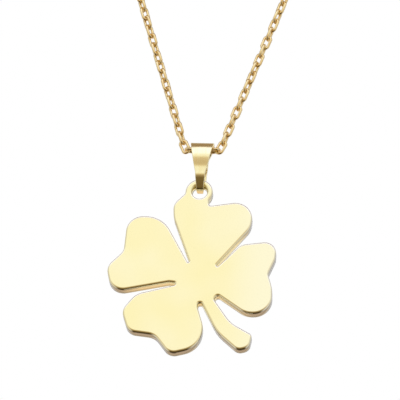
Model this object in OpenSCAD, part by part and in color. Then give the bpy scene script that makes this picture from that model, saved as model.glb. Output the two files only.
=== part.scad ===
// Necklace: a four leaf clover cut from polished plate, on a long tapered bail,
// hanging from a cable chain that closes at a clasp.
// The origin is where the necklace hangs, under the middle of the clasp.
// +X goes to the wearer's left, -Y is the front and +Z is up.

/* [Clover] */
// Width across the leaves
clover_w = 29.5; // [27:0.1:32]
// Thickness of the plate
clover_t = 1.9; // [1.8:0.1:2.1]
// Diameter of the hole for the bail
hole_d = 2.7; // [2.6:0.05:2.9]
// Diameter of the hanging tab round the hole
tab_d = 4.8; // [4.6:0.1:5]

/* [Bail] */
// Height of the bent strip
bail_h = 9.4; // [9:0.1:11]
// Depth over the bent strip
bail_deep = 5.7; // [5.4:0.1:6.2]
// Width of the strip where the chain passes
bail_w = 4.2; // [3.8:0.1:4.6]
// Width of the strip in the hole
bail_low_w = 1.05; // [1:0.05:1.3]
// Thickness of the strip
bail_strip = 0.45; // [0.4:0.05:0.5]

/* [Chain] */
// Length of the closed necklace
chain_length = 450; // [400:5:500]
// Width over the chain
chain_d = 1.8; // [1.6:0.05:1.85]
// Lean of each strand from upright
strand_lean = 18; // [15:0.1:24]
// Level run of the chain beyond each edge of the bail
mouth_run = 0.35; // [0.35:0.05:0.8]
// Length of the stretch that turns up to the strand
bend_run = 0.9; // [0.9:0.1:1.4]

/* [Clasp] */
// Length of the barrel
clasp_l = 9; // [7:0.5:12]
// Diameter of the barrel
clasp_d = 3; // [2.6:0.1:3.6]
// Bevel round the barrel's ends
clasp_bevel = 0.6; // [0.3:0.1:0.9]
// Width over the loop at each end
loop_d = 2.5; // [2.4:0.1:3]
// Thickness of the loops' wire
loop_wire = 0.6; // [0.5:0.05:0.65]

/* [Hidden] */
$fn = 72;
chain_fn = 8;
// distance between sections of the chain, in chain widths
chain_step_share = 3.3;
// largest step along a rounded corner, in degrees, and the shortest chord on it
corner_step_angle = 8;
corner_chord = 0.12;
metal = [0.86, 0.72, 0.42];

// clear height between the chain's corners and the top of the bail
curl_gap = 0.04;
// clear distance between each end of the chain and its loop on the clasp
end_gap = 0.1;
// clear play between the hole and the edges of the strip
hole_gap = 0.08;
// length by which a cutting shape passes the face that it cuts
over = 1;

// Corner rows: across, up and rounding, counted from the middle of the hole and taken
// clockwise. The tab comes after the shoulder.
shoulder = [
    [-3.0, -47.0, 0.4],
    [-14.5, -18.2, 20],
    [-15.3, -8.8, 8],
    [-8.9, -1.9, 3]
];
top_leaf = [
    [6.3, -9.3, 1.4],
    [33.6, -4.3, 10.5],
    [32.5, -23, 12],
    [13.5, -48.5, 0.4]
];
right_leaf = [
    [14.2, -49.6, 0.4],
    [27.4, -34.3, 8.5],
    [49, -31, 7],
    [48.6, -43.2, 7],
    [44.9, -53.4, 4],
    [47.9, -62, 18],
    [48.9, -79.6, 11],
    [32.8, -79.9, 12],
    [15.5, -68.2, 1.5]
];
stem = [
    [13.5, -71.2, 1.6],
    [24.6, -86.5, 20],
    [38, -93.8, 2.5],
    [36.8, -102.4, 5],
    [29.9, -104.4, 5],
    [16.7, -93.1, 27],
    [6.3, -73.9, 1]
];
lower_leaf = [
    [4.2, -74, 1],
    [4.2, -77.3, 4],
    [8.5, -89.6, 15],
    [6.8, -103.4, 14],
    [-10.8, -108.4, 7],
    [-20.6, -96.1, 9],
    [-36.5, -94.4, 7],
    [-41.4, -80.6, 8],
    [-33.6, -69.6, 12],
    [-10.5, -62.7, 0.5]
];
left_leaf = [
    [-10.5, -61.2, 0.5],
    [-14.2, -60.9, 3],
    [-48.3, -68.9, 9],
    [-52.6, -52.1, 8],
    [-43, -41.4, 7.5],
    [-42.2, -18.3, 10],
    [-21.6, -16.9, 17],
    [-3.9, -47.4, 0.4]
];
// one unit of the corner rows as a share of the clover's width
clover_share = 0.00993;
// turn of the clover in its own plane, in degrees
clover_turn = -0.8;
// distance from the hole's middle to the tab's, to the wearer's right
tab_shift = 0.1;
// directions, seen from the tab's middle, in which its edge starts and ends, clockwise
tab_start_angle = 180;
tab_end_angle = -40;

// Corners of the bail's outer face seen from the side, from the foot to the top: share of
// half its depth, share of its height, rounding as a share of half its depth
bail_face = [
    [0.30, 0, 0.32],
    [0.86, 0.24, 0.5],
    [0.86, 0.43, 0.8],
    [1, 0.635, 0.8],
    [0.70, 1, 0.84]
];
// Rows of the bail's edge at its front and at its back: share of its height,
// share of its widening, rounding as a share of the height
front_edge = [
    [-0.06, 0, 0],
    [0.095, 0, 0.3],
    [0.31, 0.235, 0.4],
    [0.50, 0.50, 0.6],
    [0.80, 0.83, 0.8],
    [1, 1, 0],
    [1.06, 1, 0]
];
back_edge = [
    [-0.06, 0, 0],
    [0.10, 0, 0.3],
    [0.36, 0.17, 0.5],
    [0.78, 0.28, 0.25],
    [1, 1, 0],
    [1.06, 1, 0]
];

radian = PI / 180;

// Unit direction at an angle from across towards up
function way(angle) = [cos(angle), sin(angle)];
function unit(v) = v / norm(v);

// Points round one corner of an outline, an arc where the corner has a radius
function corner(before, at, after) =
    let (
        p = [at[0], at[1]],
        u = unit([before[0], before[1]] - p),
        v = unit([after[0], after[1]] - p),
        half = acos(u * v) / 2,
        middle = p + unit(u + v) * at[2] / sin(half),
        out = p + u * at[2] / tan(half) - middle,
        first = atan2(out[1], out[0]),
        turn = (180 - 2 * half) * sign(u[1] * v[0] - u[0] * v[1]),
        chords = floor(abs(turn) * radian * at[2] / corner_chord),
        steps = max(2, min(ceil(abs(turn) / corner_step_angle), chords))
    )
    at[2] == 0 ? [p] : [for (i = [0 : steps]) middle + at[2] * way(first + turn * i / steps)];

// Closed outline with its corners rounded
function rounded(rows) =
    let (n = len(rows))
    [for (i = [0 : n - 1]) each corner(rows[(i + n - 1) % n], rows[i], rows[(i + 1) % n])];

// Half of the loop, from the middle of the bail: level, a short bend, a straight strand and a bow
loop_r = (loop_d - loop_wire) / 2;
clasp_run = clasp_l / 2 + loop_r + loop_d / 2 + end_gap;
half_run = chain_length / 2 - clasp_run;
level_run = bail_w / 2 + mouth_run;
turn_run = level_run + bend_run;
strand_heading = 90 - strand_lean;
turn_end = [level_run, 0] + bend_run * way(strand_heading / 2);
bow_turn = (90 + strand_lean) * radian;
bow_spare = half_run - turn_run - (clasp_run - turn_end[0]) / sin(strand_lean);
bow_r = bow_spare / (1 / tan(strand_lean) + bow_turn);
strand = (clasp_run + bow_r * cos(strand_lean) - turn_end[0]) / sin(strand_lean);
strand_end = turn_end + strand * way(strand_heading);
bow_middle = strand_end + bow_r * way(strand_heading + 90);
loop_h = bow_middle[1] + bow_r;

// Points of the right half of the loop, up to the clasp
strand_steps = ceil(strand / chain_step_share / chain_d);
bow_steps = ceil(bow_r * bow_turn / chain_step_share / chain_d);
half_loop = [
    [level_run, 0],
    for (i = [0 : strand_steps - 1]) turn_end + strand * i / strand_steps * way(strand_heading),
    for (i = [0 : bow_steps])
        bow_middle + bow_r * way(strand_heading - 90 + bow_turn / radian * i / bow_steps)
];

// Heights, with the clasp's lower side at the origin
clasp_z = clasp_d / 2;
level_z = clasp_z - loop_h;
hole_r = hole_d / 2;
// height above the hole's middle where the plate's edges rest on the strip's lowest slope
rest_up = sqrt(pow(hole_r - hole_gap, 2) - pow(bail_low_w / 2, 2));
face_out = bail_face[0][0] * bail_deep / 2;
slope = [bail_face[1][0] * bail_deep / 2 - face_out, bail_face[1][1] * bail_h];
foot_up = rest_up - (bail_strip * norm(slope) + slope[1] * (clover_t / 2 - face_out)) / slope[0];
level_up = foot_up + bail_h - bail_strip - curl_gap - chain_d / 2;
hole_z = level_z - level_up;

// Chain as a round cord of its own width, from one end of the clasp down through the bail and up to the other
module chain() {
    last = len(half_loop) - 1;
    route = [
        for (i = [0 : last]) [-half_loop[last - i][0], half_loop[last - i][1]],
        for (i = [0 : last]) half_loop[i]
    ];
    n = len(route);
    headings = [for (i = [0 : n - 2]) let (d = route[i + 1] - route[i]) atan2(d[1], d[0])];
    sections = [
        for (i = [0 : n - 1])
            let (
                before = headings[max(i - 1, 0)],
                after = headings[min(i, n - 2)],
                half_turn = (after - before) / 2,
                across = way(before + half_turn + 90) / cos(half_turn)
            )
            for (k = [0 : chain_fn - 1])
                let (
                    out = chain_d / 2 * way((k + 0.5) * 360 / chain_fn),
                    p = route[i] + out[0] * across
                )
                [p[0], out[1], p[1]]
    ];
    faces = [
        [for (k = [0 : chain_fn - 1]) chain_fn - 1 - k],
        [for (k = [0 : chain_fn - 1]) (n - 1) * chain_fn + k],
        for (i = [0 : n - 2], k = [0 : chain_fn - 1])
            let (next = (k + 1) % chain_fn)
            [
                i * chain_fn + k,
                i * chain_fn + next,
                (i + 1) * chain_fn + next,
                (i + 1) * chain_fn + k
            ]
    ];
    color(metal)
        translate([0, 0, level_z])
            polyhedron(sections, faces);
}

// Side view of the bail's loop, a closed outline less the same outline moved in by the strip's thickness
module bail_side() {
    function row(share, hand) =
        [hand * share[0] * bail_deep / 2, foot_up + share[1] * bail_h, share[2] * bail_deep / 2];
    last = len(bail_face) - 1;
    outer = rounded([
        for (i = [0 : last]) row(bail_face[i], 1),
        for (i = [0 : last]) row(bail_face[last - i], -1)
    ]);
    n = len(outer);
    inner = [
        for (i = [0 : n - 1])
            let (along = unit(outer[(i + 1) % n] - outer[(i + n - 1) % n]))
            outer[i] + bail_strip * [-along[1], along[0]]
    ];
    difference() {
        polygon(outer);
        polygon(inner);
    }
}

// One half of the bail seen from the front, as deep as the loop: the front half or the back half
module bail_half(rows, side) {
    function edge(row, hand) =
        [
            hand * (bail_low_w + row[1] * (bail_w - bail_low_w)) / 2,
            foot_up + row[0] * bail_h,
            row[2] * bail_h
        ];
    last = len(rows) - 1;
    outline = [
        for (i = [0 : last]) edge(rows[i], 1),
        for (i = [0 : last]) edge(rows[last - i], -1)
    ];
    depth = bail_deep / 2 + over;
    translate([0, side * depth / 2, 0])
        rotate([90, 0, 0])
            linear_extrude(height = depth, center = true)
                polygon(rounded(outline));
}

// Strip bent round the chain and through the hole, narrow at its foot
module bail() {
    color(metal)
        translate([0, 0, hole_z])
            intersection() {
                rotate([90, 0, 90])
                    linear_extrude(height = bail_w + 2 * over, center = true)
                        bail_side();
                union() {
                    bail_half(front_edge, -1);
                    bail_half(back_edge, 1);
                }
            }
}

// Flat clover with a bent stem and a drilled hanging tab
module clover() {
    share = clover_share * clover_w;
    tab_steps = ceil((tab_start_angle - tab_end_angle) / corner_step_angle);
    tab = [
        for (i = [0 : tab_steps])
            let (p = tab_d / 2 * way(tab_start_angle + (tab_end_angle - tab_start_angle) * i / tab_steps))
            [p[0] - tab_shift, p[1], 0]
    ];
    leaves = concat(top_leaf, right_leaf, stem, lower_leaf, left_leaf);
    color(metal)
        translate([0, 0, hole_z])
            rotate([90, 0, 0])
                difference() {
                    rotate(clover_turn)
                        linear_extrude(height = clover_t, center = true)
                            polygon(rounded(concat(shoulder * share, tab, leaves * share)));
                    cylinder(h = clover_t + 2 * over, d = hole_d, center = true);
                }
}

// Plain closed barrel with a wire loop at each end
module clasp() {
    end = clasp_l / 2;
    r = clasp_d / 2;
    color(metal)
        translate([0, 0, clasp_z]) {
            rotate([0, 90, 0])
                rotate_extrude()
                    polygon([
                        [0, -end],
                        [r - clasp_bevel, -end],
                        [r, clasp_bevel - end],
                        [r, end - clasp_bevel],
                        [r - clasp_bevel, end],
                        [0, end]
                    ]);
            for (side = [-1, 1])
                translate([side * (end + loop_r), 0, 0])
                    rotate_extrude()
                        translate([loop_r, 0])
                            circle(d = loop_wire);
        }
}

chain();
bail();
clover();
clasp();
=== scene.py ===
import math

import bpy
from mathutils import Matrix, Vector


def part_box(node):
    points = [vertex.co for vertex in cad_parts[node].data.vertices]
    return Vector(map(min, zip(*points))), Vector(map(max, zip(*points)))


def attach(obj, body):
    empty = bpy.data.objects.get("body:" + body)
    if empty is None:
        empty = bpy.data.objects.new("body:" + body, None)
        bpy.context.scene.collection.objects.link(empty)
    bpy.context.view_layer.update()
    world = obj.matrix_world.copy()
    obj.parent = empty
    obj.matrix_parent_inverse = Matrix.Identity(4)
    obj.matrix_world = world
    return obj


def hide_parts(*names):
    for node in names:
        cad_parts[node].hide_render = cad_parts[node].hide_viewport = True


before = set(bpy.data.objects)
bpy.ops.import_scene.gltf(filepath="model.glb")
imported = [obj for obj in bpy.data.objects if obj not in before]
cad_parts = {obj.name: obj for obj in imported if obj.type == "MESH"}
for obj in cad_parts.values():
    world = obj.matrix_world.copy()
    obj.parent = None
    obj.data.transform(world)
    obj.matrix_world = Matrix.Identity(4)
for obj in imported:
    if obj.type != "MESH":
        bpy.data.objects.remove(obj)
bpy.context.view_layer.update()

# Camera. The photograph looks up at the hanging clover from below its front and
# a little from the right, with the picture turned slightly, so that the
# necklace's own upright leans to the right.
clover_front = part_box("clover")[0].y
hole_z = -0.191818
look_from = math.radians(5.2)
look_up = math.radians(26)
roll = math.radians(3.6)
frame_width = 0.0706
camera_reach = 1.5
aim_right = 0.001
aim_down = 0.022
back = Vector(
    (
        math.sin(look_from) * math.cos(look_up),
        -math.cos(look_from) * math.cos(look_up),
        -math.sin(look_up),
    )
)
level = Vector((math.cos(look_from), math.sin(look_from), 0))
upright = back.cross(level)
right = level * math.cos(roll) + upright * math.sin(roll)
up = upright * math.cos(roll) - level * math.sin(roll)
aim = Vector((0, clover_front, hole_z))
aim += frame_width * (right * aim_right - up * aim_down)
camera_data = bpy.data.cameras.new("camera")
camera = bpy.data.objects.new("camera", camera_data)
bpy.context.scene.collection.objects.link(camera)
camera_data.sensor_width = 36
camera_data.lens = camera_data.sensor_width * camera_reach / frame_width
camera_data.clip_start = 0.05
camera_data.clip_end = 60
camera.matrix_world = Matrix.Translation(aim + back * camera_reach) @ Matrix(
    (right, up, back)
).transposed().to_4x4()
bpy.context.scene.camera = camera

# Studio. A white surround, in which polished metal mirrors a tent: bright in
# front, brown overhead, dark to the ground and warm low behind. The pale floor
# is far below, because the necklace hangs.
floor_size = 60
floor_z = -1.6
bpy.context.scene.view_settings.view_transform = "Standard"
world = bpy.data.worlds.new("studio")
bpy.context.scene.world = world
world.use_nodes = True
nodes, links = world.node_tree.nodes, world.node_tree.links
nodes.clear()
where = nodes.new("ShaderNodeTexCoord")
parts = nodes.new("ShaderNodeSeparateXYZ")
links.new(where.outputs["Generated"], parts.inputs["Vector"])
front = nodes.new("ShaderNodeMath")
front.operation = "MULTIPLY"
front.inputs[1].default_value = -1
links.new(parts.outputs["Y"], front.inputs[0])
height = nodes.new("ShaderNodeMath")
height.operation = "ARCTAN2"
links.new(parts.outputs["Z"], height.inputs[0])
links.new(front.outputs["Value"], height.inputs[1])
band = nodes.new("ShaderNodeMapRange")
band.inputs["From Min"].default_value = -math.pi
band.inputs["From Max"].default_value = math.pi
links.new(height.outputs["Value"], band.inputs["Value"])
tent = nodes.new("ShaderNodeValToRGB")
links.new(band.outputs["Result"], tent.inputs["Fac"])
# Degrees above straight in front, negative below it, and the tent's colour there.
tent_bands = [
    (-180, (0.95, 0.78, 0.60)),
    (-168, (0.52, 0.40, 0.28)),
    (-160, (0.86, 0.64, 0.48)),
    (-148, (0.98, 0.75, 0.58)),
    (-138, (0.32, 0.24, 0.17)),
    (-120, (0.12, 0.085, 0.05)),
    (-90, (0.045, 0.027, 0.01)),
    (-62, (0.055, 0.034, 0.013)),
    (-44, (0.18, 0.122, 0.052)),
    (-8, (0.44, 0.34, 0.22)),
    (2, (0.70, 0.57, 0.43)),
    (12, (0.88, 0.81, 0.70)),
    (20, (0.98, 0.96, 0.94)),
    (26, (1.0, 1.0, 1.0)),
    (36, (1.0, 1.02, 1.1)),
    (44, (1.08, 1.11, 1.34)),
    (50, (1.3, 1.33, 1.7)),
    (57, (1.3, 1.33, 1.7)),
    (64, (0.40, 0.29, 0.20)),
    (80, (0.31, 0.21, 0.14)),
    (120, (0.40, 0.29, 0.20)),
    (138, (0.85, 0.84, 0.86)),
    (164, (0.80, 0.79, 0.82)),
    (180, (0.95, 0.78, 0.60)),
]
while len(tent.color_ramp.elements) < len(tent_bands):
    tent.color_ramp.elements.new(0.5)
for stop, (angle, colour) in zip(tent.color_ramp.elements, tent_bands):
    stop.position = (angle + 180) / 360
    stop.color = (*colour, 1)
aside = nodes.new("ShaderNodeMath")
aside.operation = "ABSOLUTE"
links.new(parts.outputs["X"], aside.inputs[0])
flank = nodes.new("ShaderNodeMapRange")
flank.interpolation_type = "SMOOTHSTEP"
flank.inputs["From Min"].default_value = 0.42
flank.inputs["From Max"].default_value = 0.8
links.new(aside.outputs["Value"], flank.inputs["Value"])
walls = nodes.new("ShaderNodeMix")
walls.data_type = "RGBA"
links.new(flank.outputs["Result"], walls.inputs["Factor"])
links.new(tent.outputs["Color"], walls.inputs["A"])
walls.inputs["B"].default_value = (0.66, 0.64, 0.68, 1)
seen = nodes.new("ShaderNodeLightPath")
choice = nodes.new("ShaderNodeMix")
choice.data_type = "RGBA"
plain = nodes.new("ShaderNodeMath")
plain.operation = "MAXIMUM"
links.new(seen.outputs["Is Camera Ray"], plain.inputs[0])
links.new(seen.outputs["Is Diffuse Ray"], plain.inputs[1])
links.new(plain.outputs["Value"], choice.inputs["Factor"])
links.new(walls.outputs["Result"], choice.inputs["A"])
choice.inputs["B"].default_value = (1, 1, 1, 1)
shine = nodes.new("ShaderNodeBackground")
links.new(choice.outputs["Result"], shine.inputs["Color"])
world_out = nodes.new("ShaderNodeOutputWorld")
links.new(shine.outputs["Background"], world_out.inputs["Surface"])

bpy.ops.object.select_all(action="DESELECT")
bpy.ops.mesh.primitive_plane_add(size=floor_size, location=(0, 0, floor_z))
floor = bpy.context.object
floor.name = "floor"
floor.visible_glossy = False
paper = bpy.data.materials.new("floor paper")
paper.use_nodes = True
nodes, links = paper.node_tree.nodes, paper.node_tree.links
sheet = nodes["Principled BSDF"]
sheet.inputs["Base Color"].default_value = (0.86, 0.85, 0.83, 1)
sheet.inputs["Roughness"].default_value = 0.9
underside = nodes.new("ShaderNodeNewGeometry")
clear = nodes.new("ShaderNodeBsdfTransparent")
one_way = nodes.new("ShaderNodeMixShader")
links.new(underside.outputs["Backfacing"], one_way.inputs["Fac"])
links.new(sheet.outputs["BSDF"], one_way.inputs[1])
links.new(clear.outputs["BSDF"], one_way.inputs[2])
links.new(one_way.outputs["Shader"], nodes["Material Output"].inputs["Surface"])
floor.data.materials.append(paper)

soft_light = bpy.data.lights.new("soft light", "AREA")
soft_light.shape = "DISK"
soft_light.size = 1.2
soft_light.energy = 8
soft_box = bpy.data.objects.new("soft light", soft_light)
bpy.context.scene.collection.objects.link(soft_box)
soft_box.location = (0.3, -0.9, 1.4)
soft_box.visible_glossy = False
soft_box.rotation_mode = "QUATERNION"
soft_box.rotation_quaternion = (soft_box.location - aim).to_track_quat("Z", "Y")

# Clover. A plate cut to four uneven leaves and a curved stem, drilled for the
# bail, with its edges tumbled round and its faces polished like a mirror.
front_rounding = 0.0004
back_rounding = 0.0001
face_depth = 0.0009


def copy_piece(node, name):
    """A copy of a CAD piece under its own name, active and alone selected."""
    bpy.ops.object.select_all(action="DESELECT")
    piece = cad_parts[node].copy()
    piece.data = piece.data.copy()
    piece.name = name
    bpy.context.scene.collection.objects.link(piece)
    piece.select_set(True)
    bpy.context.view_layer.objects.active = piece
    return piece


def join_facets():
    """Joins the active copy's loose triangles, and those that lie flat into one face."""
    bpy.ops.object.mode_set(mode="EDIT")
    bpy.ops.mesh.select_all(action="SELECT")
    bpy.ops.mesh.remove_doubles(threshold=0.000002)
    bpy.ops.mesh.dissolve_limited(angle_limit=math.radians(0.5))
    bpy.ops.object.mode_set(mode="OBJECT")


clover = copy_piece("clover", "clover_plate")
join_facets()
for side, rounding in ((-1, front_rounding), (1, back_rounding)):
    bpy.ops.object.mode_set(mode="EDIT")
    bpy.ops.mesh.select_mode(type="EDGE")
    bpy.ops.mesh.select_all(action="DESELECT")
    bpy.ops.mesh.edges_select_sharp(sharpness=math.radians(50))
    bpy.ops.object.mode_set(mode="OBJECT")
    for edge in clover.data.edges:
        depths = [clover.data.vertices[end].co.y * side for end in edge.vertices]
        edge.select = edge.select and min(depths) > face_depth
    bpy.ops.object.mode_set(mode="EDIT")
    bpy.ops.mesh.bevel(offset=rounding, segments=4, affect="EDGES", clamp_overlap=False)
    bpy.ops.object.mode_set(mode="OBJECT")
bpy.ops.object.shade_smooth_by_angle(angle=math.radians(40))
flatness = clover.modifiers.new("flatness", "WEIGHTED_NORMAL")
flatness.weight = 100
flatness.keep_sharp = True
bpy.ops.object.modifier_apply(modifier=flatness.name)

# The finish of polished gold plate, used on the clover, the chain and the
# clasp: slow waves from the polishing wheel and faint smears.
polish = bpy.data.node_groups.new("polished plate", "ShaderNodeTree")
for name in ("Wave", "Smear"):
    polish.interface.new_socket(name, in_out="INPUT", socket_type="NodeSocketFloat")
polish.interface.new_socket("Tone", in_out="OUTPUT", socket_type="NodeSocketFloat")
polish.interface.new_socket("Roughness", in_out="OUTPUT", socket_type="NodeSocketFloat")
polish.interface.new_socket("Normal", in_out="OUTPUT", socket_type="NodeSocketVector")
nodes, links = polish.nodes, polish.links
given = nodes.new("NodeGroupInput")
result = nodes.new("NodeGroupOutput")
place = nodes.new("ShaderNodeTexCoord")
in_mm = nodes.new("ShaderNodeMapping")
in_mm.inputs["Scale"].default_value = (1000, 1000, 1000)
links.new(place.outputs["Object"], in_mm.inputs["Vector"])
slow = nodes.new("ShaderNodeTexNoise")
slow.inputs["Scale"].default_value = 0.11
slow.inputs["Detail"].default_value = 1
links.new(in_mm.outputs["Vector"], slow.inputs["Vector"])
wave = nodes.new("ShaderNodeBump")
wave.inputs["Distance"].default_value = 0.001
links.new(given.outputs["Wave"], wave.inputs["Strength"])
links.new(slow.outputs["Fac"], wave.inputs["Height"])
links.new(wave.outputs["Normal"], result.inputs["Normal"])
smear = nodes.new("ShaderNodeTexNoise")
smear.inputs["Scale"].default_value = 0.35
smear.inputs["Detail"].default_value = 4
smear.inputs["Distortion"].default_value = 0.6
links.new(in_mm.outputs["Vector"], smear.inputs["Vector"])
dull = nodes.new("ShaderNodeMath")
dull.operation = "MULTIPLY_ADD"
dull.inputs[2].default_value = 0.04
links.new(smear.outputs["Fac"], dull.inputs[0])
links.new(given.outputs["Smear"], dull.inputs[1])
links.new(dull.outputs["Value"], result.inputs["Roughness"])
links.new(slow.outputs["Fac"], result.inputs["Tone"])

plate_gold = bpy.data.materials.new("polished gold plate")
plate_gold.use_nodes = True
nodes, links = plate_gold.node_tree.nodes, plate_gold.node_tree.links
metal = nodes["Principled BSDF"]
metal.inputs["Metallic"].default_value = 1
finish = nodes.new("ShaderNodeGroup")
finish.node_tree = polish
finish.inputs["Wave"].default_value = 0.06
finish.inputs["Smear"].default_value = 0.06
tint = nodes.new("ShaderNodeValToRGB")
tint.color_ramp.elements[0].position = 0.35
tint.color_ramp.elements[0].color = (0.995, 0.905, 0.50, 1)
tint.color_ramp.elements[1].position = 0.65
tint.color_ramp.elements[1].color = (1.0, 0.925, 0.58, 1)
links.new(finish.outputs["Tone"], tint.inputs["Fac"])
place = nodes.new("ShaderNodeTexCoord")
across = nodes.new("ShaderNodeSeparateXYZ")
links.new(place.outputs["Object"], across.inputs["Vector"])
# Painted light: the clover's gold is painted paler towards its +X side.
paleness = nodes.new("ShaderNodeMapRange")
paleness.interpolation_type = "SMOOTHSTEP"
paleness.inputs["From Min"].default_value = 0.003
paleness.inputs["From Max"].default_value = 0.013
links.new(across.outputs["X"], paleness.inputs["Value"])
painted_right_light = nodes.new("ShaderNodeMix")
painted_right_light.data_type = "RGBA"
links.new(paleness.outputs["Result"], painted_right_light.inputs["Factor"])
links.new(tint.outputs["Color"], painted_right_light.inputs["A"])
painted_right_light.inputs["B"].default_value = (1.0, 0.945, 0.66, 1)
facing = nodes.new("ShaderNodeSeparateXYZ")
links.new(place.outputs["Normal"], facing.inputs["Vector"])
level_face = nodes.new("ShaderNodeMath")
level_face.operation = "ABSOLUTE"
links.new(facing.outputs["Y"], level_face.inputs[0])
cut = nodes.new("ShaderNodeMapRange")
cut.interpolation_type = "SMOOTHSTEP"
cut.inputs["From Min"].default_value = 0.1
cut.inputs["From Max"].default_value = 0.45
cut.inputs["To Min"].default_value = 1
cut.inputs["To Max"].default_value = 0
links.new(level_face.outputs["Value"], cut.inputs["Value"])
# Painted shade and light on the cut walls, going by occlusion: open walls are painted a
# dark grey-gold, narrow slits a pale gold.
narrow = nodes.new("ShaderNodeAmbientOcclusion")
narrow.only_local = True
narrow.samples = 8
narrow.inputs["Distance"].default_value = 0.004
painted_wall_shade = nodes.new("ShaderNodeValToRGB")
painted_wall_shade.color_ramp.elements[0].position = 0.5
painted_wall_shade.color_ramp.elements[0].color = (1.0, 0.93, 0.58, 1)
painted_wall_shade.color_ramp.elements[1].position = 0.85
painted_wall_shade.color_ramp.elements[1].color = (0.5, 0.48, 0.40, 1)
links.new(narrow.outputs["AO"], painted_wall_shade.inputs["Fac"])
walled = nodes.new("ShaderNodeMix")
walled.data_type = "RGBA"
links.new(cut.outputs["Result"], walled.inputs["Factor"])
links.new(painted_right_light.outputs["Result"], walled.inputs["A"])
links.new(painted_wall_shade.outputs["Color"], walled.inputs["B"])
# Painted light: faces turned upward are painted a paler gold; they are also made rougher.
rim = nodes.new("ShaderNodeMapRange")
rim.interpolation_type = "SMOOTHSTEP"
rim.inputs["From Min"].default_value = 0.05
rim.inputs["From Max"].default_value = 0.4
links.new(facing.outputs["Z"], rim.inputs["Value"])
painted_top_light = nodes.new("ShaderNodeMix")
painted_top_light.data_type = "RGBA"
links.new(rim.outputs["Result"], painted_top_light.inputs["Factor"])
links.new(walled.outputs["Result"], painted_top_light.inputs["A"])
painted_top_light.inputs["B"].default_value = (1.0, 0.98, 0.90, 1)
links.new(painted_top_light.outputs["Result"], metal.inputs["Base Color"])
sawn = nodes.new("ShaderNodeMath")
sawn.operation = "MULTIPLY_ADD"
sawn.inputs[1].default_value = 0.08
links.new(cut.outputs["Result"], sawn.inputs[0])
links.new(finish.outputs["Roughness"], sawn.inputs[2])
softer = nodes.new("ShaderNodeMath")
softer.operation = "MULTIPLY_ADD"
softer.inputs[1].default_value = 0.25
links.new(rim.outputs["Result"], softer.inputs[0])
links.new(sawn.outputs["Value"], softer.inputs[2])
links.new(softer.outputs["Value"], metal.inputs["Roughness"])
deep = nodes.new("ShaderNodeMath")
deep.operation = "MULTIPLY"
links.new(across.outputs["Y"], deep.inputs[0])
links.new(across.outputs["Y"], deep.inputs[1])
crown = nodes.new("ShaderNodeBump")
crown.invert = True
crown.inputs["Distance"].default_value = 120
links.new(deep.outputs["Value"], crown.inputs["Height"])
links.new(finish.outputs["Normal"], crown.inputs["Normal"])
links.new(crown.outputs["Normal"], metal.inputs["Normal"])
clover.data.materials.clear()
clover.data.materials.append(plate_gold)
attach(clover, "clover")
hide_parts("clover")

# Bail. One strip of the same metal, stamped wide at the top and narrow at the
# foot, bent round the chain and through the clover's hole, and brushed along
# its length before plating.
bail_rounding = 0.00008
strip_thick = 0.00045
curl_half_width = 0.00203
curl_depth = 0.0002
curl_height = 0.0001
foot_flare = 0.00016
flare_share = 0.3
flare_lead = 0.27
bail_low, bail_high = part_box("bail")
bail = copy_piece("bail", "bail_strip")
# The curl's inner edges run on evenly from front to back, and the front swells
# a little above the foot.
for vertex in bail.data.vertices:
    above_curl = vertex.co.z - (bail_high.z - strip_thick)
    if abs(vertex.co.y) < curl_depth and abs(above_curl) < curl_height:
        vertex.co.x = math.copysign(curl_half_width, vertex.co.x)
    share = (vertex.co.z - bail_low.z) / (bail_high.z - bail_low.z) / flare_share
    if vertex.co.y < 0 and share < 1:
        flare = foot_flare * math.sin(math.pi * (share + flare_lead) / (1 + flare_lead))
        vertex.co.x += math.copysign(flare, vertex.co.x)
join_facets()
rounding = bail.modifiers.new("rounding", "BEVEL")
rounding.width = bail_rounding
rounding.segments = 2
rounding.limit_method = "ANGLE"
rounding.angle_limit = math.radians(50)
rounding.use_clamp_overlap = False
bpy.ops.object.modifier_apply(modifier=rounding.name)
bpy.ops.object.shade_smooth_by_angle(angle=math.radians(46))

strip_gold = bpy.data.materials.new("brushed gold strip")
strip_gold.use_nodes = True
nodes, links = strip_gold.node_tree.nodes, strip_gold.node_tree.links
metal = nodes["Principled BSDF"]
metal.inputs["Metallic"].default_value = 1
place = nodes.new("ShaderNodeTexCoord")
along = nodes.new("ShaderNodeMapping")
along.inputs["Scale"].default_value = (9000, 500, 350)
links.new(place.outputs["Object"], along.inputs["Vector"])
brush = nodes.new("ShaderNodeTexNoise")
brush.inputs["Scale"].default_value = 1
brush.inputs["Detail"].default_value = 3
links.new(along.outputs["Vector"], brush.inputs["Vector"])
lines = nodes.new("ShaderNodeBump")
lines.inputs["Strength"].default_value = 0.05
lines.inputs["Distance"].default_value = 0.0001
links.new(brush.outputs["Fac"], lines.inputs["Height"])
links.new(lines.outputs["Normal"], metal.inputs["Normal"])
tint = nodes.new("ShaderNodeValToRGB")
tint.color_ramp.elements[0].position = 0.3
tint.color_ramp.elements[0].color = (0.96, 0.85, 0.45, 1)
tint.color_ramp.elements[1].position = 0.7
tint.color_ramp.elements[1].color = (1.0, 0.93, 0.57, 1)
links.new(brush.outputs["Fac"], tint.inputs["Fac"])
links.new(tint.outputs["Color"], metal.inputs["Base Color"])
dull = nodes.new("ShaderNodeMapRange")
dull.inputs["To Min"].default_value = 0.14
dull.inputs["To Max"].default_value = 0.24
links.new(brush.outputs["Fac"], dull.inputs["Value"])
links.new(dull.outputs["Result"], metal.inputs["Roughness"])
bail.data.materials.clear()
bail.data.materials.append(strip_gold)
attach(bail, "bail")
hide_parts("bail")

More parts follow.
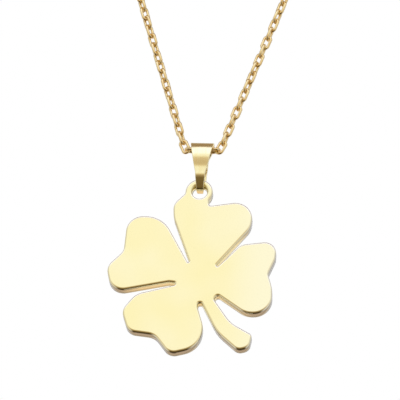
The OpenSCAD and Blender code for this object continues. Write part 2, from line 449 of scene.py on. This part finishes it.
# Chain. Oval links of drawn wire, each soldered shut and turned a quarter from
# its neighbours. They run from one loop of the clasp down through the bail and
# up to the other loop; the left strand lies twisted by an eighth of a turn.
wire = 0.00054
bow_centre = 0.00061
link_gap = 0.00005
link_pitch = 0.00184
level_z = -0.183566
level_run = 0.00245
bend_run = 0.0009
strand_lean = math.radians(18)
strand_run = 0.137696
bow_radius = 0.0409317
end_run = 0.0004
left_twist = math.radians(47)
right_twist = math.radians(17)
twist_swing = math.radians(12)
twist_step = 0.8
twist_start_links = 4
twist_end_links = 30
heading = math.pi / 2 - strand_lean
bow_run = bow_radius * (math.pi / 2 + strand_lean)
half_run = level_run + bend_run + strand_run + bow_run + end_run
turn_start = Vector((level_run, 0))
turn_end = turn_start + bend_run * Vector((math.cos(heading / 2), math.sin(heading / 2)))
strand_end = turn_end + strand_run * Vector((math.cos(heading), math.sin(heading)))
bow_middle = strand_end + bow_radius * Vector((-math.sin(heading), math.cos(heading)))


def chain_point(run):
    """The chain's middle at a distance along the right half of the loop, across and up."""
    if run < level_run:
        return Vector((run, 0))
    run -= level_run
    if run < bend_run:
        return turn_start + (turn_end - turn_start) * run / bend_run
    run -= bend_run
    if run < strand_run:
        return turn_end + (strand_end - turn_end) * run / strand_run
    run -= strand_run
    if run < bow_run:
        angle = heading - math.pi / 2 + run / bow_radius
        return bow_middle + bow_radius * Vector((math.cos(angle), math.sin(angle)))
    return bow_middle + Vector((bow_run - run, bow_radius))


overlap = wire + link_gap - 2 * bow_centre
pairs = round((half_run - overlap / 2) / link_pitch / 2)
pitch = (half_run - overlap / 2) / (2 * pairs + 0.5)
straight = pitch + overlap

bpy.ops.object.select_all(action="DESELECT")
bpy.ops.mesh.primitive_torus_add(
    major_segments=14, minor_segments=6, major_radius=bow_centre, minor_radius=wire / 2
)
link = bpy.context.object
for half in (-1, 1):
    bpy.ops.object.mode_set(mode="EDIT")
    bpy.ops.mesh.select_all(action="DESELECT")
    bpy.ops.object.mode_set(mode="OBJECT")
    for vertex in link.data.vertices:
        vertex.select = vertex.co.x * half > 0
    bpy.ops.object.mode_set(mode="EDIT")
    bpy.ops.transform.translate(value=(half * straight / 2, 0, 0))
    bpy.ops.object.mode_set(mode="OBJECT")
bpy.ops.object.shade_smooth()

chain_links = []
gap_after = 2 * pitch - straight
for side, strand_twist in ((-1, left_twist), (1, right_twist)):
    for count in range(0 if side == 1 else 1, 2 * pairs + 1):
        if count == 0:
            ends = (Vector((-straight / 2, 0)), Vector((straight / 2, 0)))
        else:
            start = straight / 2 + count // 2 * gap_after + (count - 1) // 2 * straight
            length = gap_after if count % 2 else straight
            ends = (chain_point(start), chain_point(start + length))
        low, high = (Vector((side * end.x, 0, level_z + end.y)) for end in ends)
        along = (high - low).normalized()
        twist = strand_twist + twist_swing * math.sin(count * twist_step)
        from_start = (count - 1) / twist_start_links
        from_end = (2 * pairs - count) / twist_end_links
        twist *= max(0, min(1, from_start, from_end))
        turned = twist + math.pi / 2 * (count % 2)
        flat = Vector((-along.z, 0, along.x))
        wide = flat * math.cos(turned) + Vector((0, 1, 0)) * math.sin(turned)
        piece = link.copy()
        piece.data = link.data.copy()
        piece.data.transform(
            Matrix.Translation((low + high) / 2)
            @ Matrix((along, wide, along.cross(wide))).transposed().to_4x4()
        )
        bpy.context.scene.collection.objects.link(piece)
        chain_links.append(piece)
bpy.data.objects.remove(link)
bpy.ops.object.select_all(action="DESELECT")
for piece in chain_links:
    piece.select_set(True)
chain = chain_links[0]
bpy.context.view_layer.objects.active = chain
bpy.ops.object.join()
chain.name = "chain_links"

wire_gold = bpy.data.materials.new("gold plated wire")
wire_gold.use_nodes = True
nodes, links = wire_gold.node_tree.nodes, wire_gold.node_tree.links
metal = nodes["Principled BSDF"]
metal.inputs["Metallic"].default_value = 1
finish = nodes.new("ShaderNodeGroup")
finish.node_tree = polish
finish.inputs["Wave"].default_value = 0.05
finish.inputs["Smear"].default_value = 0.18
place = nodes.new("ShaderNodeTexCoord")
in_mm = nodes.new("ShaderNodeMapping")
in_mm.inputs["Scale"].default_value = (1000, 1000, 1000)
links.new(place.outputs["Object"], in_mm.inputs["Vector"])
wear = nodes.new("ShaderNodeTexNoise")
wear.inputs["Scale"].default_value = 1.1
wear.inputs["Detail"].default_value = 2
links.new(in_mm.outputs["Vector"], wear.inputs["Vector"])
tint = nodes.new("ShaderNodeValToRGB")
tint.color_ramp.elements[0].position = 0.3
tint.color_ramp.elements[0].color = (0.92, 0.69, 0.32, 1)
tint.color_ramp.elements[1].position = 0.7
tint.color_ramp.elements[1].color = (1.0, 0.845, 0.46, 1)
links.new(wear.outputs["Fac"], tint.inputs["Fac"])
links.new(tint.outputs["Color"], metal.inputs["Base Color"])
links.new(finish.outputs["Roughness"], metal.inputs["Roughness"])
links.new(finish.outputs["Normal"], metal.inputs["Normal"])
chain.data.materials.clear()
chain.data.materials.append(wire_gold)
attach(chain, "chain")
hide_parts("chain")

# Clasp. A plain turned barrel of the chain's metal with a wire loop soldered to
# each end. It closes the chain at the top of the loop, above the photograph.
clasp = copy_piece("clasp", "clasp_barrel")
join_facets()
bpy.ops.object.shade_smooth_by_angle(angle=math.radians(30))
clasp.data.materials.clear()
clasp.data.materials.append(wire_gold)
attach(clasp, "chain")
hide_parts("clasp")
